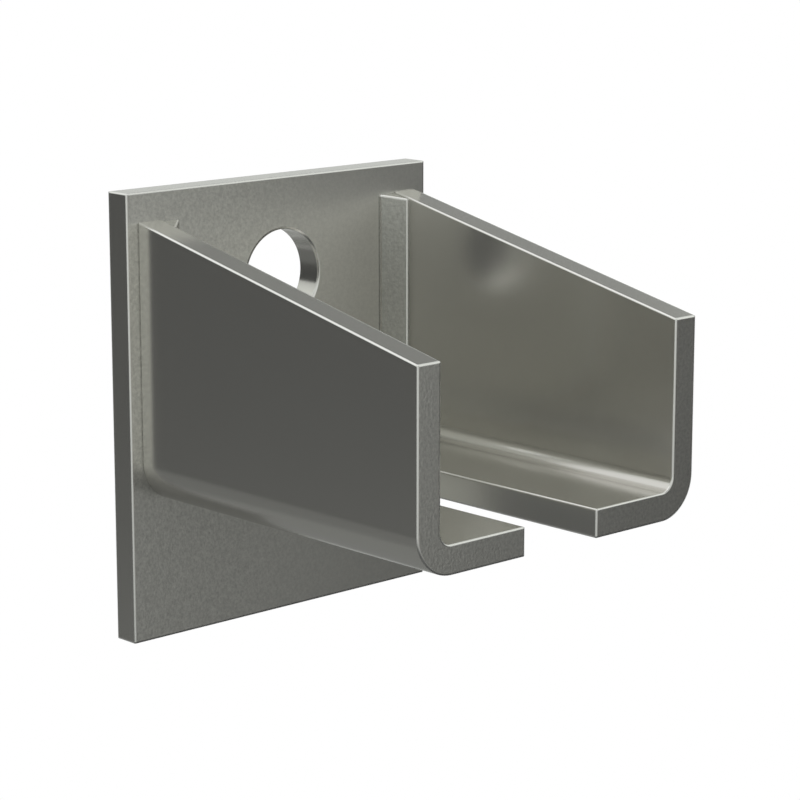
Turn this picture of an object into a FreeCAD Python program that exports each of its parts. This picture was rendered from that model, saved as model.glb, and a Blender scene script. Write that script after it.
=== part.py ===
"""Rail support: a welded steel wall bracket.

A wall plate with one large fixing hole carries two folded angles. The angles stand as the two
cheeks of an open channel, and their lips turn inwards to make the seat that a rail lies on, with a
slot between them for the bolt that holds the rail down. A fillet weld runs up each inner corner.

Millimetres. The origin is the middle of the fixing hole on the wall side of the plate, +Z is up and
-Y points out from the wall, so the angles reach towards -Y.
"""

import FreeCAD, Part
import math
import os
from enum import IntEnum

import Sketcher

# Driving dimensions
SIZES = {
    "plate_width": 70.0,
    "plate_height": 80.0,
    "plate_thickness": 5.0,
    "hole_diameter": 17.0,
    "hole_below_top": 18.0,
    "rail_width": 55.0,
    "slot_width": 17.0,
    "sheet_thickness": 5.0,
    "bend_radius": 2.5,
    "arm_length": 70.0,
    "arm_height_at_wall": 50.0,
    "arm_height_at_end": 35.0,
    "lips_above_foot": 25.0,
    "weld_leg": 4.0,
    "edge_round": 0.3,
}

# Sizes that follow from the driving ones
TOP_OF_BEND = "Sizes.sheet_thickness + Sizes.bend_radius"
LIPS_BELOW_HOLE = "Sizes.plate_height - Sizes.hole_below_top - Sizes.lips_above_foot"

SMOOTH_JOIN = math.radians(5)
TOUCHING = 1e-6
PARTS_FOLDER = "parts"


class Place(IntEnum):
    """The point of a sketch element that a constraint takes."""

    START = 1
    END = 2
    CENTRE = 3


class Axis(IntEnum):
    """The sketch's own axes."""

    LEVEL = -1
    UPRIGHT = -2


START, END, CENTRE = Place
ORIGIN = (Axis.LEVEL, START)


def write_sheet(doc):
    """One row for each driving dimension: its words, and its number under an alias."""
    sheet = doc.addObject("Spreadsheet::Sheet", "Sizes")
    for row, (name, value) in enumerate(SIZES.items(), start=1):
        sheet.set(f"A{row}", name.replace("_", " "))
        sheet.set(f"B{row}", str(value))
        sheet.setAlias(f"B{row}", name)
    doc.recompute()


def add_body(doc, label):
    body = doc.addObject("PartDesign::Body", label)
    body.Label = label
    return body


def add_sketch(body, name, plane_role):
    """A sketch lying on one of its body's own origin planes."""
    sketch = body.newObject("Sketcher::SketchObject", name)
    plane = next(item for item in body.Origin.OriginFeatures if item.Role == plane_role)
    sketch.AttachmentSupport = [(plane, "")]
    sketch.MapMode = "FlatFace"
    return sketch


def add_line(sketch, start, end):
    return sketch.addGeometry(Part.LineSegment(FreeCAD.Vector(*start), FreeCAD.Vector(*end)))


def add_outline(sketch, corners):
    """A closed outline of straight lines, each joined to the next."""
    lines = [add_line(sketch, start, end) for start, end in zip(corners, corners[1:] + corners[:1])]
    for line, following in zip(lines, lines[1:] + lines[:1]):
        sketch.addConstraint(Sketcher.Constraint("Coincident", line, END, following, START))
    return lines


def add_arc(sketch, axis, radius, first_angle, last_angle):
    circle = Part.Circle(FreeCAD.Vector(*axis), FreeCAD.Vector(0, 0, 1), radius)
    return sketch.addGeometry(Part.ArcOfCircle(circle, first_angle, last_angle))


def hold(sketch, kind, *places):
    return sketch.addConstraint(Sketcher.Constraint(kind, *places))


def hold_each(sketch, kind, lines):
    for line in lines:
        hold(sketch, kind, line)


def add_dimension(sketch, name, expression, kind, *places):
    """A named dimension of the sketch, bound to the sheet."""
    number = hold(sketch, kind, *places, float(sketch.evalExpression(expression)))
    sketch.renameConstraint(number, name)
    sketch.setExpression(f"Constraints.{name}", expression)


def check_held(sketch):
    if sketch.solve() != 0 or not sketch.FullyConstrained:
        raise RuntimeError(f"{sketch.Label} isn't fully held by its dimensions")


def add_pad(body, name, sketch, length):
    pad = body.newObject("PartDesign::Pad", name)
    pad.Profile = sketch
    pad.setExpression("Length", length)
    body.Document.recompute()


def add_through_cut(body, name, sketch):
    """Cuts the sketch's outline away on both sides of its plane, and checks that metal went."""
    volume_before = body.Shape.Volume
    cut = body.newObject("PartDesign::Pocket", name)
    cut.Profile = sketch
    cut.SideType = "Symmetric"
    cut.Type = "ThroughAll"
    body.Document.recompute()
    if body.Shape.Volume >= volume_before:
        raise RuntimeError(f"{name} cuts nothing")


def is_sharp(shape, edge):
    """True where two faces meet at an angle, not smoothly and not at a round wall's seam."""
    faces = shape.ancestorsOfType(edge, Part.Face)
    if len(faces) < 2:
        return False
    middle = edge.valueAt((edge.FirstParameter + edge.LastParameter) / 2)
    first, second = [face.normalAt(*face.Surface.parameter(middle)) for face in faces]
    return first.getAngle(second) > SMOOTH_JOIN


def round_edges(body, name, stays_sharp):
    """Rounds the cut edges, apart from those that stay sharp."""
    base = body.Tip
    names = [
        f"Edge{number}"
        for number, edge in enumerate(base.Shape.Edges, start=1)
        if is_sharp(base.Shape, edge) and not stays_sharp(edge)
    ]
    rounding = body.newObject("PartDesign::Fillet", name)
    rounding.Base = (base, names)
    rounding.setExpression("Radius", "Sizes.edge_round")
    body.Document.recompute()


def lies_along(edge, x=None, y=None):
    """True for an upright edge that stands at the given place."""
    ends = [vertex.Point for vertex in edge.Vertexes]
    return all(
        (x is None or abs(end.x - x) < TOUCHING) and (y is None or abs(end.y - y) < TOUCHING)
        for end in ends
    )


def make_wall_plate(doc):
    """Flat bar cut to length, with the fixing hole high on its centre line."""
    body = add_body(doc, "wall_plate")

    outline = add_sketch(body, "plate_outline", "XZ_Plane")
    side, top = SIZES["plate_width"] / 2, SIZES["hole_below_top"]
    foot = top - SIZES["plate_height"]
    upper, right, lower, left = add_outline(
        outline, [(-side, top), (side, top), (side, foot), (-side, foot)]
    )
    hold(outline, "Horizontal", lower)
    hold_each(outline, "Vertical", [left, right])
    hold(outline, "Symmetric", upper, START, upper, END, Axis.UPRIGHT)
    add_dimension(outline, "width", "Sizes.plate_width", "DistanceX", upper, START, upper, END)
    add_dimension(outline, "height", "Sizes.plate_height", "DistanceY", right, END, right, START)
    add_dimension(outline, "top", "Sizes.hole_below_top", "DistanceY", *ORIGIN, upper, START)
    check_held(outline)
    add_pad(body, "plate", outline, "Sizes.plate_thickness")

    rim_outline = add_sketch(body, "rim_outline", "XZ_Plane")
    circle = Part.Circle(FreeCAD.Vector(), FreeCAD.Vector(0, 0, 1), SIZES["hole_diameter"] / 2)
    rim = rim_outline.addGeometry(circle)
    hold(rim_outline, "Coincident", rim, CENTRE, *ORIGIN)
    add_dimension(rim_outline, "bore", "Sizes.hole_diameter", "Diameter", rim)
    check_held(rim_outline)
    add_through_cut(body, "fixing_hole", rim_outline)

    # The hole keeps a sharp rim at the wall, where its bore ends on the wall plane
    round_edges(
        body, "plate_edges", lambda edge: isinstance(edge.Curve, Part.Circle) and lies_along(edge, y=0)
    )
    return body


def draw_angle_section(body):
    """The folded strip seen from its end: arm, bend and lip, of one thickness all along."""
    section = add_sketch(body, "angle_section", "XZ_Plane")
    sheet, bend, top = (SIZES[name] for name in ("sheet_thickness", "bend_radius", "arm_height_at_wall"))
    inner, lip_end = -SIZES["rail_width"] / 2, -SIZES["slot_width"] / 2
    outer, axis = inner - sheet, (inner + bend, sheet + bend)
    bend_angles = (math.pi, 1.5 * math.pi)

    arm_outside = add_line(section, (outer, top), (outer, axis[1]))
    bend_outside = add_arc(section, axis, sheet + bend, *bend_angles)
    underside = add_line(section, (axis[0], 0), (lip_end, 0))
    lip_edge = add_line(section, (lip_end, 0), (lip_end, sheet))
    seat = add_line(section, (lip_end, sheet), (axis[0], sheet))
    bend_inside = add_arc(section, axis, bend, *bend_angles)
    arm_inside = add_line(section, (inner, axis[1]), (inner, top))
    arm_top = add_line(section, (inner, top), (outer, top))

    for line, end, arc, arc_end in (
        (arm_outside, END, bend_outside, START),
        (underside, START, bend_outside, END),
        (seat, END, bend_inside, END),
        (arm_inside, START, bend_inside, START),
    ):
        hold(section, "Tangent", line, end, arc, arc_end)
    for line, following in (
        (underside, lip_edge),
        (lip_edge, seat),
        (arm_inside, arm_top),
        (arm_top, arm_outside),
    ):
        hold(section, "Coincident", line, END, following, START)
    hold(section, "Coincident", bend_inside, CENTRE, bend_outside, CENTRE)
    hold_each(section, "Horizontal", [underside, seat, arm_top])
    hold_each(section, "Vertical", [arm_outside, lip_edge, arm_inside])
    hold(section, "PointOnObject", underside, START, Axis.LEVEL)

    add_dimension(
        section, "rail_side", "Sizes.rail_width / 2", "DistanceX", arm_inside, END, *ORIGIN
    )
    add_dimension(section, "slot_side", "Sizes.slot_width / 2", "DistanceX", lip_edge, END, *ORIGIN)
    add_dimension(
        section, "sheet", "Sizes.sheet_thickness", "DistanceY", lip_edge, START, lip_edge, END
    )
    add_dimension(section, "bend", "Sizes.bend_radius", "Radius", bend_inside)
    add_dimension(
        section, "arm_height", "Sizes.arm_height_at_wall", "DistanceY", *ORIGIN, arm_inside, END
    )
    check_held(section)
    return section


def cut_sloping_top(body):
    """Slopes the top down from its height at the wall to its height at the free end."""
    slope = add_sketch(body, "top_slope", "YZ_Plane")
    reach, high, low = (SIZES[name] for name in ("arm_length", "arm_height_at_wall", "arm_height_at_end"))
    sloping, upright, level = add_outline(slope, [(0, high), (-reach, low), (-reach, high)])
    hold(slope, "Vertical", upright)
    hold(slope, "Horizontal", level)
    hold(slope, "PointOnObject", sloping, START, Axis.UPRIGHT)
    add_dimension(slope, "reach", "Sizes.arm_length", "DistanceX", upright, START, *ORIGIN)
    add_dimension(slope, "high", "Sizes.arm_height_at_wall", "DistanceY", *ORIGIN, sloping, START)
    add_dimension(slope, "low", "Sizes.arm_height_at_end", "DistanceY", *ORIGIN, upright, START)
    check_held(slope)
    add_through_cut(body, "sloping_top", slope)


def stand_on_plate(body):
    """Angles and welds are drawn from the plate's front face and the underside of the lips."""
    body.setExpression("Placement.Base.y", "-Sizes.plate_thickness")
    body.setExpression("Placement.Base.z", f"-({LIPS_BELOW_HOLE})")


def make_angle(doc, label):
    """The angle on the -X side, folded from one strip."""
    body = add_body(doc, label)
    stand_on_plate(body)
    add_pad(body, "folded_strip", draw_angle_section(body), "Sizes.arm_length")
    cut_sloping_top(body)
    round_edges(body, "angle_edges", lambda edge: False)
    return body


def make_weld(doc, label):
    """The fillet weld in the -X inner corner, from the top of the bend to the sloping top."""
    body = add_body(doc, label)
    stand_on_plate(body)
    section = add_sketch(body, "weld_section", "XY_Plane")
    section.setExpression("AttachmentOffset.Base.z", TOP_OF_BEND)
    corner, leg = -SIZES["rail_width"] / 2, SIZES["weld_leg"]
    on_plate, face, on_arm = add_outline(section, [(corner, 0), (corner + leg, 0), (corner, -leg)])
    hold(section, "Horizontal", on_plate)
    hold(section, "Vertical", on_arm)
    hold(section, "PointOnObject", on_plate, START, Axis.LEVEL)
    hold(section, "Equal", on_plate, on_arm)
    add_dimension(section, "rail_side", "Sizes.rail_width / 2", "DistanceX", on_plate, START, *ORIGIN)
    add_dimension(section, "leg", "Sizes.weld_leg", "DistanceX", on_plate, START, on_plate, END)
    check_held(section)
    add_pad(body, "weld_bead", section, f"Sizes.arm_height_at_wall - ({TOP_OF_BEND})")
    cut_sloping_top(body)
    round_edges(body, "weld_edges", lambda edge: lies_along(edge, x=corner, y=0))
    return body


def mirror(doc, source, label):
    """The same piece on the other side of the support's middle plane."""
    image = doc.addObject("Part::Mirroring", label)
    image.Label = label
    image.Source = source
    image.Normal = FreeCAD.Vector(1, 0, 0)
    return image


def check_document(doc, pieces):
    failed = [item.Name for item in doc.Objects if "Invalid" in item.State or "Error" in item.State]
    if failed:
        raise RuntimeError(f"failed: {failed}")
    for piece in pieces:
        shape = piece.Shape
        if shape.isNull() or not shape.isValid() or len(shape.Solids) != 1:
            raise RuntimeError(f"{piece.Label} isn't one valid solid")


def main():
    doc = FreeCAD.newDocument("RailSupport")
    write_sheet(doc)
    wall_plate = make_wall_plate(doc)
    left_angle = make_angle(doc, "left_angle")
    right_angle = mirror(doc, left_angle, "right_angle")
    left_weld = make_weld(doc, "left_weld")
    right_weld = mirror(doc, left_weld, "right_weld")
    pieces = [wall_plate, left_angle, right_angle, left_weld, right_weld]
    doc.recompute()
    check_document(doc, pieces)

    os.makedirs(PARTS_FOLDER, exist_ok=True)
    for piece in pieces:
        piece.Shape.exportStep(os.path.join(PARTS_FOLDER, f"{piece.Label}.step"))
        print(f"{piece.Label}: {piece.Shape.Volume:.1f} mm3, {len(piece.Shape.Faces)} faces")


main()
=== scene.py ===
"""Looks of the rail support: a wall plate, two folded angles and their two inner welds."""
import math

import bmesh
import bpy
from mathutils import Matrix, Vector


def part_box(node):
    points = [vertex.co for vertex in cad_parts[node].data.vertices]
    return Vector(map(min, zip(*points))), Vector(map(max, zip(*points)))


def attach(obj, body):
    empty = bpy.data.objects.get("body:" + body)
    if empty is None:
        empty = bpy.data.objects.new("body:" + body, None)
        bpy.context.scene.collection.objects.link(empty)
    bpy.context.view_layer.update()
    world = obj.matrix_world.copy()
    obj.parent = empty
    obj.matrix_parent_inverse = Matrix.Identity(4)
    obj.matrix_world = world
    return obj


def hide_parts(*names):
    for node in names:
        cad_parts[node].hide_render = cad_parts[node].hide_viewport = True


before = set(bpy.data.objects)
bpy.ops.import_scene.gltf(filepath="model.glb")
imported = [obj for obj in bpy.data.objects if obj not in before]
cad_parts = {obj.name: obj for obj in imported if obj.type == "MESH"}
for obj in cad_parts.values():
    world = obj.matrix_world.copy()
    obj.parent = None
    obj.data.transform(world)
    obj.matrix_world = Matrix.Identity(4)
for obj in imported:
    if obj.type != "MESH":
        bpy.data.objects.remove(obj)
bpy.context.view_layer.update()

scene = bpy.context.scene
MM = 0.001

# The steel's sizes
SHEET = 5 * MM
BEND_RADIUS = 2.5 * MM
ARM_DROP = 15 * MM
HOLE_RADIUS = 8.5 * MM
WELD_LEG = 4 * MM
WELD_DROP = 0.3 * MM

# Rounded edges
EDGE_ROUND = 0.38 * MM
WALL_RIM_ROUND = 0.04 * MM
SHARP = math.radians(30)
RIM_PLACES = (    # From the front face into the hole, in mm: how much wider, and how deep
    (0.45, 0.0), (0.43, 0.0), (0.41, 0.002), (0.38, 0.006), (0.04, 0.04),
    (0.01, 0.12), (0.0, 0.21), (0.0, 0.30), (0.0, 0.38),
)
RIM_DEPTH = RIM_PLACES[-1][1] * MM
TOE_WIDTH = 0.55 * MM
TOE_TURN = math.radians(67)
ROUND, FULL = 0.5, 0.8    # Profiles of a rounding: a quarter circle, and one that fills the corner

# Steps of the curved surfaces
BEND_STEPS = 24
EDGE_STEPS = 4
HOLE_STEPS = 96
WALL_RIM_STEPS = 2
TOE_STEPS = 8

# How near counts as the same
SAME_POINT = 1e-7
SAME_LEVEL = 1e-6
SAME_WAY = 0.99
NEAR_TOP = 0.1 * MM
NEAR_HOLE = 1.1 * HOLE_RADIUS

# What the meshes tell the materials: which edges are burnished and painted lighter as a highlight, and
# how coarse each face is
EDGE_BURNISH_AND_HIGHLIGHT = "edge_burnish_and_highlight"
COARSE = "coarseness"
REAMED, ROLLED, SAWN_END, BLASTED, BEAD = -0.25, 0.0, 0.6, 1.0, 1.0


# Node trees

NUMBER = "NodeSocketFloat"


def add_node(tree, kind, inputs=None, **settings):
    """A node with its settings; each input takes a value or the socket that feeds it."""
    node = tree.nodes.new(kind)
    for name, value in settings.items():
        setattr(node, name, value)
    for key, value in (inputs or {}).items():
        socket = node.inputs[key]
        if isinstance(value, bpy.types.NodeSocket):
            tree.links.new(value, socket)
        else:
            socket.default_value = value
    return node


def calculate(tree, operation, *values):
    """One step of arithmetic between sockets and numbers."""
    return add_node(tree, "ShaderNodeMath", dict(enumerate(values)), operation=operation).outputs[0]


def spread(tree, value, low, high, first=0.0, last=1.0, **settings):
    """A value between first and last, turned into the range from low to high."""
    inputs = {"Value": value, "From Min": first, "From Max": last, "To Min": low, "To Max": high}
    return add_node(tree, "ShaderNodeMapRange", inputs, **settings).outputs[0]


def add_sockets(tree, inputs, outputs):
    """Named sockets of a group: name, kind and, for an input, its value."""
    for name, kind, value in inputs:
        socket = tree.interface.new_socket(name, in_out="INPUT", socket_type=kind)
        if value is not None:
            socket.default_value = value
    for name, kind in outputs:
        tree.interface.new_socket(name, in_out="OUTPUT", socket_type=kind)
    return tree.nodes.new("NodeGroupInput").outputs, tree.nodes.new("NodeGroupOutput").inputs


# Folded angles

def folded_angle_tree():
    """A strip folded once: a flat strip's section swept round the fold, with a sloping top."""
    tree = bpy.data.node_groups.new("folded angle", "GeometryNodeTree")
    given, result = add_sockets(
        tree,
        [
            ("Side", NUMBER, 1.0),
            ("Outer face", NUMBER, 32.5 * MM),
            ("Lip end", NUMBER, 8.5 * MM),
            ("Wall side", NUMBER, -5 * MM),
            ("Free end", NUMBER, -75 * MM),
            ("Foot", NUMBER, -37 * MM),
            ("Top at wall", NUMBER, 13 * MM),
            ("Top at end", NUMBER, -2 * MM),
            ("Sheet", NUMBER, SHEET),
            ("Bend radius", NUMBER, BEND_RADIUS),
            ("Bend steps", "NodeSocketInt", BEND_STEPS),
            ("Steel", "NodeSocketMaterial", None),
        ],
        [("Geometry", "NodeSocketGeometry")],
    )
    half = calculate(tree, "MULTIPLY", given["Sheet"], 0.5)
    arm_from_middle = calculate(tree, "SUBTRACT", given["Outer face"], half)
    arm_x = calculate(tree, "MULTIPLY", given["Side"], arm_from_middle)
    lip_x = calculate(tree, "MULTIPLY", given["Side"], given["Lip end"])
    both_ends = calculate(tree, "ADD", given["Wall side"], given["Free end"])
    middle_y = calculate(tree, "MULTIPLY", both_ends, 0.5)
    length = calculate(tree, "SUBTRACT", given["Wall side"], given["Free end"])
    lip_z = calculate(tree, "ADD", given["Foot"], half)

    def place(x, z):
        return add_node(tree, "ShaderNodeCombineXYZ", {"X": x, "Y": middle_y, "Z": z}).outputs[0]

    corners = add_node(tree, "GeometryNodeIndexSwitch", data_type="VECTOR")
    corners.index_switch_items.new()
    tree.links.new(add_node(tree, "GeometryNodeInputIndex").outputs[0], corners.inputs[0])
    strip_corners = place(arm_x, given["Top at wall"]), place(arm_x, lip_z), place(lip_x, lip_z)
    for slot, corner in enumerate(strip_corners, 1):
        tree.links.new(corner, corners.inputs[slot])
    three_points = add_node(tree, "GeometryNodeMeshLine", {"Count": 3})
    bent_line = add_node(
        tree,
        "GeometryNodeSetPosition",
        {"Geometry": three_points.outputs[0], "Position": corners.outputs[0]},
    )
    path = add_node(tree, "GeometryNodeMeshToCurve", {"Mesh": bent_line.outputs[0]})
    fold = add_node(
        tree,
        "GeometryNodeFilletCurve",
        {
            "Curve": path.outputs[0],
            "Radius": calculate(tree, "ADD", given["Bend radius"], half),
            "Count": given["Bend steps"],
        },
        mode="POLY",
    )
    section = add_node(
        tree, "GeometryNodeCurvePrimitiveQuadrilateral", {"Width": given["Sheet"], "Height": length}
    )
    strip = add_node(
        tree,
        "GeometryNodeCurveToMesh",
        {"Curve": fold.outputs[0], "Profile Curve": section.outputs[0], "Fill Caps": True},
    )

    position = add_node(tree, "GeometryNodeInputPosition").outputs[0]
    xyz = add_node(tree, "ShaderNodeSeparateXYZ", {0: position}).outputs
    sloping_z = spread(
        tree, xyz["Y"], given["Top at wall"], given["Top at end"], given["Wall side"], given["Free end"]
    )
    just_below_top = calculate(tree, "SUBTRACT", given["Top at wall"], NEAR_TOP)
    at_top = calculate(tree, "GREATER_THAN", xyz["Z"], just_below_top)
    sloped_place = add_node(
        tree, "ShaderNodeCombineXYZ", {"X": xyz["X"], "Y": xyz["Y"], "Z": sloping_z}
    ).outputs[0]
    sloped = add_node(
        tree,
        "GeometryNodeSetPosition",
        {"Geometry": strip.outputs[0], "Selection": at_top, "Position": sloped_place},
    )
    whole = add_node(tree, "GeometryNodeRealizeInstances", {"Geometry": sloped.outputs[0]})
    finished = add_node(
        tree, "GeometryNodeSetMaterial", {"Geometry": whole.outputs[0], "Material": given["Steel"]}
    )
    tree.links.new(finished.outputs[0], result["Geometry"])
    return tree


def grow(tree, name, sizes):
    """The tree's result as a plain mesh; the object that grew it goes."""
    holder = bpy.data.objects.new(name, bpy.data.meshes.new(name))
    scene.collection.objects.link(holder)
    modifier = holder.modifiers.new(name, "NODES")
    modifier.node_group = tree
    for socket in tree.interface.items_tree:
        if socket.item_type == "SOCKET" and socket.in_out == "INPUT" and socket.name in sizes:
            modifier[socket.identifier] = sizes[socket.name]
    bpy.context.view_layer.update()
    grown = holder.evaluated_get(bpy.context.evaluated_depsgraph_get())
    mesh = bpy.data.meshes.new_from_object(grown)
    bpy.data.objects.remove(holder)
    return mesh


# Meshes

def start_mesh():
    """An empty mesh with a layer that tells rounded faces from flat ones."""
    bm = bmesh.new()
    bm.faces.layers.int.new("rounded")
    return bm


def sharp_edges(bm):
    return [edge for edge in bm.edges if len(edge.link_faces) == 2 and edge.calc_face_angle() > SHARP]


def round_edges(bm, edges, radius, steps, fullness):
    """Rounds the edges and marks the new faces as rounded."""
    rounded = bm.faces.layers.int["rounded"]
    made = bmesh.ops.bevel(
        bm, geom=edges, offset=radius, offset_type="OFFSET", segments=steps, profile=fullness,
        affect="EDGES", clamp_overlap=True,
    )
    for face in made["faces"]:
        face[rounded] = 1


def finish_mesh(name, form, coarseness):
    """Flat faces stay flat, and edges turn smoothly between them and are marked as burnished, which also
    paints a highlight on them.

    The form is built twice: its places come from full edges, which keep the outline crisp, and
    its normals from fully round ones, so light runs over the edges as over a rounded corner.
    Each flat face gets the coarseness that its direction asks for.
    """
    bm = form(ROUND)
    bm.normal_update()
    rounded = bm.faces.layers.int["rounded"]
    normals, burnished_lit_edges = [], []
    for vertex in bm.verts:
        flat = [face for face in vertex.link_faces if not face[rounded]]
        around = flat or list(vertex.link_faces)
        total = sum((face.normal * face.calc_area() for face in around), Vector())
        normals.append(total.normalized())
        burnished_lit_edges.append(0.0 if flat else 1.0)
    bm.free()

    bm = form(FULL)
    bm.normal_update()
    rounded = bm.faces.layers.int["rounded"]
    coarse = [ROLLED if face[rounded] else coarseness(face) for face in bm.faces]
    mesh = bpy.data.meshes.new(name)
    bm.to_mesh(mesh)
    bm.free()
    mesh.polygons.foreach_set("use_smooth", [True] * len(mesh.polygons))
    # Rounded faces are marked for the burnished colour, which is the painted edge highlight
    mesh.attributes.new(EDGE_BURNISH_AND_HIGHLIGHT, "FLOAT", "POINT").data.foreach_set("value", burnished_lit_edges)
    mesh.attributes.new(COARSE, "FLOAT", "FACE").data.foreach_set("value", coarse)
    mesh.normals_split_custom_set_from_vertices(normals)
    return mesh


def add_piece(mesh, node, material):
    """Puts a finished mesh in the place of its CAD solid."""
    mesh.name = node + "_surface"
    piece = bpy.data.objects.new(node + "_finished", mesh)
    scene.collection.objects.link(piece)
    mesh.materials.clear()
    mesh.materials.append(material)
    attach(piece, "root")
    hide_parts(node)


def make_angle(tree, node, side, material):
    """The folded strip at the size of its CAD box, on the side that is -1 or 1 times X."""
    low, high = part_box(node)
    outer, lip_end = sorted((abs(low.x), abs(high.x)), reverse=True)
    mesh = grow(
        tree,
        node,
        {
            "Side": float(side),
            "Outer face": outer,
            "Lip end": lip_end,
            "Wall side": high.y,
            "Free end": low.y,
            "Foot": low.z,
            "Top at wall": high.z,
            "Top at end": high.z - ARM_DROP,
            "Steel": material,
        },
    )

    def form(fullness):
        bm = start_mesh()
        bm.from_mesh(mesh)
        bmesh.ops.remove_doubles(bm, verts=bm.verts, dist=SAME_POINT)
        bmesh.ops.recalc_face_normals(bm, faces=bm.faces)
        round_edges(bm, sharp_edges(bm), EDGE_ROUND, EDGE_STEPS, fullness)
        return bm

    def coarseness(face):
        return SAWN_END if abs(face.normal.y) > SAME_WAY else ROLLED

    add_piece(finish_mesh(node, form, coarseness), node, material)


def make_plate(node, material):
    """A rectangle whose sides share the hole's steps, so each face is a ring of four-sided faces."""
    low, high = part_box(node)
    corners = [(high.x, high.z), (low.x, high.z), (low.x, low.z), (high.x, low.z)]
    hole = [
        (HOLE_RADIUS * math.cos(turn), HOLE_RADIUS * math.sin(turn))
        for turn in (2 * math.pi * step / HOLE_STEPS for step in range(HOLE_STEPS))
    ]
    starts = [round(math.atan2(z, x) / (2 * math.pi) * HOLE_STEPS) % HOLE_STEPS for x, z in corners]
    around = {}
    for number, start in enumerate(starts):
        following = (number + 1) % len(corners)
        count = (starts[following] - start) % HOLE_STEPS
        (x0, z0), (x1, z1) = corners[number], corners[following]
        for step in range(count):
            share = step / count
            around[(start + step) % HOLE_STEPS] = (x0 + (x1 - x0) * share, z0 + (z1 - z0) * share)
    outline = [around[step] for step in range(HOLE_STEPS)]

    def rim_loop(number, fullness):
        """One ring of the hole's front rim: its points and its place in the thickness."""
        if fullness == FULL:
            widening, depth = (size * MM for size in RIM_PLACES[number])
        else:
            turn = (1 - number / (len(RIM_PLACES) - 1)) * math.pi / 2
            widening, depth = RIM_DEPTH * (1 - math.cos(turn)), RIM_DEPTH * (1 - math.sin(turn))
        share = 1 + widening / HOLE_RADIUS
        return [(x * share, z * share) for x, z in hole], low.y + depth

    def on_wall_rim(vertex):
        from_middle = math.hypot(vertex.co.x, vertex.co.z)
        return abs(vertex.co.y - high.y) < SAME_LEVEL and from_middle < NEAR_HOLE

    def form(fullness):
        bm = start_mesh()
        rounded = bm.faces.layers.int["rounded"]
        rim_loops = [rim_loop(number, fullness) for number in reversed(range(len(RIM_PLACES)))]
        loops = rim_loops + [(outline, low.y), (outline, high.y), (hole, high.y)]
        rings = [[bm.verts.new((x, y, z)) for x, z in loop] for loop, y in loops]
        for number, (ring, following) in enumerate(zip(rings, rings[1:] + rings[:1])):
            for step in range(HOLE_STEPS):
                after = (step + 1) % HOLE_STEPS
                face = bm.faces.new((ring[step], ring[after], following[after], following[step]))
                face[rounded] = int(number < len(RIM_PLACES) - 1)
        bmesh.ops.recalc_face_normals(bm, faces=bm.faces)
        wall_rim = [edge for edge in sharp_edges(bm) if all(map(on_wall_rim, edge.verts))]
        round_edges(bm, wall_rim, WALL_RIM_ROUND, WALL_RIM_STEPS, fullness)
        rounded = bm.faces.layers.int["rounded"]
        others = [edge for edge in sharp_edges(bm) if not any(face[rounded] for face in edge.link_faces)]
        round_edges(bm, others, EDGE_ROUND, EDGE_STEPS, fullness)
        return bm

    def coarseness(face):
        if abs(face.normal.y) > SAME_WAY:
            return BLASTED
        centre = face.calc_center_median()
        return REAMED if math.hypot(centre.x, centre.z) < NEAR_HOLE else ROLLED

    add_piece(finish_mesh(node, form, coarseness), node, material)


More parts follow.
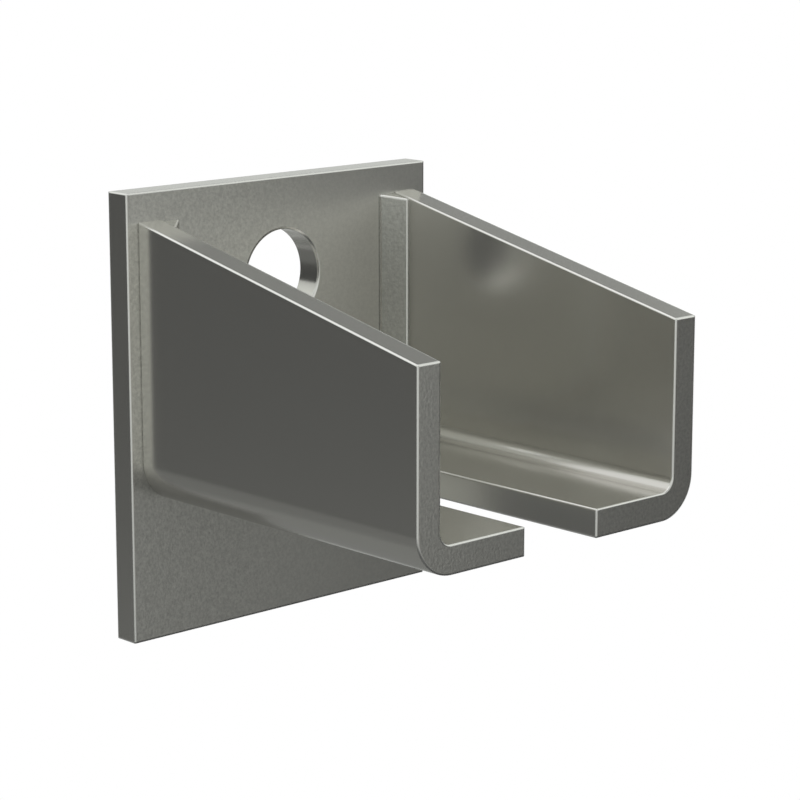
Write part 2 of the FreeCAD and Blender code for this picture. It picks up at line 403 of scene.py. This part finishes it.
def make_weld(node, side, slope, material):
    """A three-cornered bead whose toes turn to meet the plate and the arm.

    Its top keeps below the arm's rounded edge and follows the arm's slope.
    """
    low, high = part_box(node)
    corner_x = side * max(abs(low.x), abs(high.x))
    wall_y = high.y
    face_way = math.atan2(-1, -side)
    toe_turn = side * TOE_TURN
    half = math.sqrt(0.5)
    inner_radius = WELD_LEG * (1 - half)
    middle = Vector((corner_x - side * inner_radius, wall_y - inner_radius))
    toe_shares = [step / TOE_STEPS for step in range(TOE_STEPS + 1)]
    rim_shares = [step / EDGE_STEPS for step in range(EDGE_STEPS + 1)]

    def toe(tip, along, first, last, fullness):
        """Points from a toe's tip to the flat of the face, straight or turned about a centre."""
        end = tip + along * TOE_WIDTH
        if fullness == FULL:
            return [tip.lerp(end, share) for share in toe_shares]
        turns = [first + (last - first) * share for share in toe_shares]
        spokes = [Vector((math.cos(turn), math.sin(turn))) * TOE_WIDTH for turn in turns]
        return [end - spokes[-1] + spoke for spoke in spokes]

    def rim_step(share, fullness):
        """How far a rim's ring lies inward from the side and short of the end."""
        if fullness == FULL:
            return EDGE_ROUND * max(2 * share - 1, 0), EDGE_ROUND * max(1 - 2 * share, 0)
        turn = share * math.pi / 2
        return EDGE_ROUND * (1 - math.cos(turn)), EDGE_ROUND * (1 - math.sin(turn))

    def form(fullness):
        wall_tip = Vector((corner_x - side * WELD_LEG, wall_y))
        arm_tip = Vector((corner_x, wall_y - WELD_LEG))
        along = Vector((side * half, -half))
        wall_toe = toe(wall_tip, along, face_way - toe_turn, face_way, fullness)
        arm_toe = toe(arm_tip, -along, face_way + toe_turn, face_way, fullness)
        outline = [Vector((corner_x, wall_y))] + wall_toe + arm_toe[::-1]
        flat_sides = 0, TOE_STEPS + 1, 2 * TOE_STEPS + 2
        bm = start_mesh()
        rounded = bm.faces.layers.int["rounded"]

        def ring(share, upper):
            inward, short = rim_step(share, fullness)
            points = [middle + (point - middle) * (1 - inward / inner_radius) for point in outline]
            top = high.z - WELD_DROP - short
            return [
                bm.verts.new((*point, top + slope * (point.y - wall_y) if upper else low.z + short))
                for point in points
            ]

        rings = [ring(share, False) for share in rim_shares[::-1]]
        rings += [ring(share, True) for share in rim_shares]
        bm.faces.new(rings[0])
        bm.faces.new(rings[-1])
        for number, (ring_below, ring_above) in enumerate(zip(rings, rings[1:])):
            for step in range(len(outline)):
                after = (step + 1) % len(outline)
                face = bm.faces.new(
                    (ring_below[step], ring_below[after], ring_above[after], ring_above[step])
                )
                face[rounded] = int(step not in flat_sides or number != EDGE_STEPS)
        bmesh.ops.recalc_face_normals(bm, faces=bm.faces)
        return bm

    add_piece(finish_mesh(node, form, lambda face: BEAD), node, material)


# Materials

METALLIC = 0.92
STEEL = (0.660, 0.653, 0.614)
WELD_METAL = (0.560, 0.560, 0.520)
# The rounded edges' colour: burnished steel, lighter than the rest, which paints a highlight along every
# edge
BURNISH_AND_HIGHLIGHT_COLOUR = (0.85, 0.85, 0.82)
PIT_DEPTH = 0.026 * MM
SPECKLE = 0.17
SPECKLE_NOISE = (0.25, 0.75)
GLOSS_PATCH = 0.02
FADE_REACH = 14 * MM
FADE_FROM, FADE_TO = 0.62, 0.2


def object_place(tree):
    return add_node(tree, "ShaderNodeTexCoord").outputs["Object"]


def noise(tree, size, detail, roughness=0.5):
    """Noise on the object, with features of about the given size."""
    return add_node(
        tree,
        "ShaderNodeTexNoise",
        {
            "Vector": object_place(tree),
            "Scale": calculate(tree, "DIVIDE", 1.0, size),
            "Detail": detail,
            "Roughness": roughness,
        },
    ).outputs[0]


def mix(tree, factor, first, second):
    """Two colours blended by a mask."""
    return add_node(
        tree, "ShaderNodeMix", {0: factor, 6: first, 7: second}, data_type="RGBA"
    ).outputs[2]


def read_attribute(tree, name):
    return add_node(tree, "ShaderNodeAttribute", attribute_name=name).outputs["Fac"]


def fine_grain_group():
    """The metal's own grain: a height for its pits, a speckle, and wide soft patches."""
    tree = bpy.data.node_groups.new("fine grain", "ShaderNodeTree")
    given, result = add_sockets(
        tree,
        [
            ("Coarseness", NUMBER, 0.0),
            ("Smooth share", NUMBER, 0.03),
            ("Grain size", NUMBER, 0.5 * MM),
            ("Speckle size", NUMBER, 0.6 * MM),
            ("Patch size", NUMBER, 18 * MM),
        ],
        [("Height", NUMBER), ("Speckle", NUMBER), ("Patches", NUMBER)],
    )
    share = spread(tree, given["Coarseness"], given["Smooth share"], 1.0, last=SAWN_END)
    grains = noise(tree, given["Grain size"], detail=1.0)
    tree.links.new(calculate(tree, "MULTIPLY", grains, share), result["Height"])
    blotches = noise(tree, given["Speckle size"], detail=2.0, roughness=0.7)
    tone = spread(tree, blotches, -0.5, 0.5, *SPECKLE_NOISE)
    speckle = calculate(tree, "ADD", calculate(tree, "MULTIPLY", tone, share), 0.5)
    tree.links.new(speckle, result["Speckle"])
    tree.links.new(noise(tree, given["Patch size"], detail=2.0), result["Patches"])
    return tree


def edge_burnish_and_highlight_group():
    """Where the rounded edges are burnished and painted lighter as a highlight, stronger and weaker
    along them.
    """
    tree = bpy.data.node_groups.new("edge burnish and highlight", "ShaderNodeTree")
    given, result = add_sockets(
        tree,
        [
            ("Edge", NUMBER, 0.0),
            ("Amount", NUMBER, 1.0),
            ("Unevenness", NUMBER, 0.3),
            ("Run", NUMBER, 6 * MM),
        ],
        [("Mask", NUMBER)],
    )
    along = noise(tree, given["Run"], detail=3.0)
    kept = calculate(tree, "SUBTRACT", 1.0, calculate(tree, "MULTIPLY", along, given["Unevenness"]))
    burnished_lit_edges = calculate(tree, "MULTIPLY", given["Edge"], given["Amount"])
    tree.links.new(calculate(tree, "MULTIPLY", burnished_lit_edges, kept), result["Mask"])
    return tree


def fade_to_right(tree, strength):
    """The strength, less and less of it towards +X."""
    across = add_node(tree, "ShaderNodeSeparateXYZ", {0: object_place(tree)}).outputs["X"]
    kept = spread(tree, across, FADE_FROM, FADE_TO, -FADE_REACH, FADE_REACH)
    return calculate(tree, "MULTIPLY", strength, kept)


FINE_GRAIN = fine_grain_group()
EDGE_BURNISH_AND_HIGHLIGHT_GROUP = edge_burnish_and_highlight_group()


def make_steel(name, colour, smooth_roughness, coarse_roughness, fades=False):
    """Bare steel: mottled colour, patchy gloss, fine pits, and burnished edges painted lighter as a
    highlight.

    Where it fades, its grain grows weaker to the right.
    """
    material = bpy.data.materials.new(name)
    material.use_nodes = True
    tree = material.node_tree
    shader = tree.nodes["Principled BSDF"]
    shader.inputs["Metallic"].default_value = METALLIC

    coarse = read_attribute(tree, COARSE)
    grainy = fade_to_right(tree, coarse) if fades else coarse
    edge = read_attribute(tree, EDGE_BURNISH_AND_HIGHLIGHT)
    grain = add_node(tree, "ShaderNodeGroup", {"Coarseness": grainy}, node_tree=FINE_GRAIN).outputs
    burnish_highlight_mask = add_node(tree, "ShaderNodeGroup", {"Edge": edge}, node_tree=EDGE_BURNISH_AND_HIGHLIGHT_GROUP).outputs
    darker = (*(channel * (1 - SPECKLE) for channel in colour), 1)
    lighter = (*(channel * (1 + SPECKLE) for channel in colour), 1)
    mottled = mix(tree, grain["Speckle"], darker, lighter)
    # Rounded edges get the lighter colour: burnished, and a painted highlight along them
    tree.links.new(mix(tree, burnish_highlight_mask["Mask"], mottled, (*BURNISH_AND_HIGHLIGHT_COLOUR, 1)), shader.inputs["Base Color"])

    surface = calculate(
        tree, "MULTIPLY_ADD", coarse, coarse_roughness - smooth_roughness, smooth_roughness
    )
    patches = spread(tree, grain["Patches"], -GLOSS_PATCH, GLOSS_PATCH)
    tree.links.new(calculate(tree, "ADD", surface, patches), shader.inputs["Roughness"])

    bump = add_node(
        tree, "ShaderNodeBump", {"Height": grain["Height"], "Strength": 1.0, "Distance": PIT_DEPTH}
    )
    tree.links.new(bump.outputs[0], shader.inputs["Normal"])
    return material


rolled_steel = make_steel("rolled steel", STEEL, smooth_roughness=0.21, coarse_roughness=0.34)
plate_steel = make_steel(
    "plate steel", STEEL, smooth_roughness=0.2, coarse_roughness=0.33, fades=True
)
weld_steel = make_steel("weld metal", WELD_METAL, smooth_roughness=0.2, coarse_roughness=0.33)

angle_tree = folded_angle_tree()
arm_low, arm_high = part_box("left_angle")
arm_slope = ARM_DROP / (arm_high.y - arm_low.y)
make_plate("wall_plate", plate_steel)
make_angle(angle_tree, "left_angle", -1, rolled_steel)
make_angle(angle_tree, "right_angle", 1, rolled_steel)
make_weld("left_weld", -1, arm_slope, weld_steel)
make_weld("right_weld", 1, arm_slope, weld_steel)


# Camera

CAMERA_PLACE = Vector((-0.314895, -0.374652, 0.079068))
CAMERA_TURN = math.radians(42.925)
CAMERA_TILT = math.radians(11.873)
SENSOR = 36.0
FOCAL_PIXELS = 2719.23
IMAGE_PIXELS = 800.0
NEAREST, FARTHEST = 0.01, 50

camera_data = bpy.data.cameras.new("camera")
camera_data.sensor_width = SENSOR
camera_data.lens = FOCAL_PIXELS / IMAGE_PIXELS * SENSOR
camera_data.clip_start = NEAREST
camera_data.clip_end = FARTHEST
camera = bpy.data.objects.new("camera", camera_data)
camera.location = CAMERA_PLACE
camera.rotation_euler = (math.pi / 2 - CAMERA_TILT, 0, -CAMERA_TURN)
scene.collection.objects.link(camera)
scene.camera = camera


# Studio

scene.view_settings.view_transform = "Standard"

STUDIO_MIDDLE = Vector((0, -0.04, -0.02))
SOFT_LIGHT = 0.85
FLOOR_PLACE = STUDIO_MIDDLE + Vector((0, 0, -0.33))
FLOOR_RADIUS = 0.47
FLOOR_STEPS = 96
FLOOR_GREY = 0.9
FLOOR_ROUGHNESS = 0.9
FADE_START = 0.12
GREY = "grey"
CARD_STEPS = 12
CARD_COLOUR = (0.926, 0.95, 0.922, 1)
CARD_LIFT = 5 * MM
LAMP_SIZE = (0.8, 0.6)

# Each card's turns from the wall side towards +X, its rises above level, and its greys from the
# lower or inner edge to the upper or outer one
CARDS = (
    ("left foot card", (-100, -20), (-36, -22), 0.16, 0.15),
    ("left low card", (-100, -20), (-22, -13), 0.17, 0.066),
    ("left card", (-100, -20), (-13, 12), 0.064, 0.02),
    ("left upper card", (-100, -20), (12, 34), 0.72, 1.05),
    ("left high card", (-100, -60), (34, 55), 0.62, 0.62),
    ("back left card", (-20, 5), (-36, 12), 0.12, 0.17),
    ("back left upper card", (-20, 5), (12, 34), 0.35, 0.72),
    ("back card", (5, 30), (-36, 12), 0.36, 0.40),
    ("back upper card", (5, 30), (12, 55), 0.85, 0.95),
    ("right back card", (30, 60), (-36, 22), 0.37, 0.82),
    ("right back high card", (30, 60), (22, 55), 0.25, 0.16),
    ("right card", (60, 100), (-36, 2), 0.34, 0.17),
    ("right upper card", (60, 100), (2, 55), 0.65, 0.80),
    ("right front card", (100, 141), (-36, 2), 0.04, 0.02),
    ("right front upper card", (100, 141), (2, 22), 0.14, 1.05),
    ("right front high card", (100, 141), (22, 55), 1.05, 0.74),
    ("front card", (141, 180), (-36, 12), 0.14, 0.69),
    ("front upper card", (141, 180), (12, 55), 0.42, 0.50),
    ("near card", (180, 260), (-36, -10), 0.20, 0.65),
    ("near upper card", (180, 260), (-10, 55), 0.71, 0.77),
    ("floor back card", (-50, 60), None, 0.22, 0.22),
    ("floor front card", (60, 180), None, 0.03, 0.03),
    ("floor near card", (180, 310), None, 0.05, 0.05),
)

# Each lamp's turn, rise and watts
LAMPS = (
    ("back lamp", -35, 45, 1.2),
    ("front lamp", 115, 45, 0.4),
)


def make_world(level):
    """White for the camera and in the metal, and a plain level for soft light."""
    world = bpy.data.worlds.new("studio")
    scene.world = world
    world.use_nodes = True
    tree = world.node_tree
    background = tree.nodes["Background"]
    path = add_node(tree, "ShaderNodeLightPath").outputs
    in_view = calculate(tree, "MAXIMUM", path["Is Camera Ray"], path["Is Glossy Ray"])
    seen = calculate(tree, "MAXIMUM", in_view, path["Is Transmission Ray"])
    background.inputs["Color"].default_value = (1, 1, 1, 1)
    tree.links.new(spread(tree, seen, level, 1.0), background.inputs["Strength"])


def direction(turn, rise):
    """The way to a place in the studio: turn from the wall side towards +X, rise above level."""
    turn, rise = math.radians(turn), math.radians(rise)
    return Vector((math.sin(turn) * math.cos(rise), math.cos(turn) * math.cos(rise), math.sin(rise)))


def card_material():
    """Light from a studio card, as grey as the card is at that height."""
    material = bpy.data.materials.new("studio card")
    material.use_nodes = True
    tree = material.node_tree
    tree.nodes.clear()
    glow = add_node(
        tree, "ShaderNodeEmission", {"Color": CARD_COLOUR, "Strength": read_attribute(tree, GREY)}
    )
    output = tree.nodes.new("ShaderNodeOutputMaterial")
    tree.links.new(glow.outputs[0], output.inputs["Surface"])
    material.cycles.emission_sampling = "NONE"
    return material


def make_card(name, turns, rises, foot, head, material):
    """A curved card of the studio, seen only in the metal.

    Where rises is None, it lies just over the floor.
    """
    bm = bmesh.new()
    grey = bm.verts.layers.float.new(GREY)
    bmesh.ops.create_grid(bm, x_segments=CARD_STEPS, y_segments=CARD_STEPS, size=0.5)
    for vertex in bm.verts:
        across, up = vertex.co.x + 0.5, vertex.co.y + 0.5
        turn = turns[0] + (turns[1] - turns[0]) * across
        if rises is None:
            reach = direction(turn, 0) * up * FLOOR_RADIUS
            vertex.co = FLOOR_PLACE + reach + Vector((0, 0, CARD_LIFT))
        else:
            vertex.co = STUDIO_MIDDLE + direction(turn, rises[0] + (rises[1] - rises[0]) * up)
        vertex[grey] = foot + (head - foot) * up
    mesh = bpy.data.meshes.new(name)
    bm.to_mesh(mesh)
    bm.free()
    mesh.materials.append(material)
    card = bpy.data.objects.new(name, mesh)
    scene.collection.objects.link(card)
    card.visible_camera = False
    card.visible_diffuse = False
    card.visible_shadow = False
    card.visible_transmission = False


def make_lamp(name, turn, rise, power):
    """A soft lamp for the floor's shadow, not seen in the metal."""
    lamp = bpy.data.lights.new(name, "AREA")
    lamp.shape = "RECTANGLE"
    lamp.size, lamp.size_y = LAMP_SIZE
    lamp.energy = power
    placed = bpy.data.objects.new(name, lamp)
    way = direction(turn, rise)
    placed.location = STUDIO_MIDDLE + way
    placed.rotation_euler = way.to_track_quat("Z", "Y").to_euler()
    placed.visible_glossy = False
    scene.collection.objects.link(placed)


def make_floor():
    """A pale round floor that takes the shadow, fades out to its rim and hides nothing from below."""
    mesh = bpy.data.meshes.new("floor")
    bm = bmesh.new()
    bmesh.ops.create_circle(bm, cap_ends=True, radius=FLOOR_RADIUS, segments=FLOOR_STEPS)
    bmesh.ops.translate(bm, verts=bm.verts, vec=FLOOR_PLACE)
    bm.to_mesh(mesh)
    bm.free()
    material = bpy.data.materials.new("pale floor")
    material.use_nodes = True
    tree = material.node_tree
    shader = tree.nodes["Principled BSDF"]
    shader.inputs["Base Color"].default_value = (FLOOR_GREY, FLOOR_GREY, FLOOR_GREY, 1)
    shader.inputs["Roughness"].default_value = FLOOR_ROUGHNESS
    reach = add_node(
        tree,
        "ShaderNodeVectorMath",
        {0: object_place(tree), 1: tuple(FLOOR_PLACE)},
        operation="DISTANCE",
    ).outputs["Value"]
    fade = spread(tree, reach, 1.0, 0.0, FADE_START, FLOOR_RADIUS, interpolation_type="SMOOTHSTEP")
    from_below = add_node(tree, "ShaderNodeNewGeometry").outputs["Backfacing"]
    from_above = calculate(tree, "SUBTRACT", 1.0, from_below)
    tree.links.new(calculate(tree, "MULTIPLY", fade, from_above), shader.inputs["Alpha"])
    mesh.materials.append(material)
    floor = bpy.data.objects.new("floor", mesh)
    scene.collection.objects.link(floor)


make_world(SOFT_LIGHT)
studio_card = card_material()
for card_row in CARDS:
    make_card(*card_row, studio_card)
for lamp_row in LAMPS:
    make_lamp(*lamp_row)
make_floor()
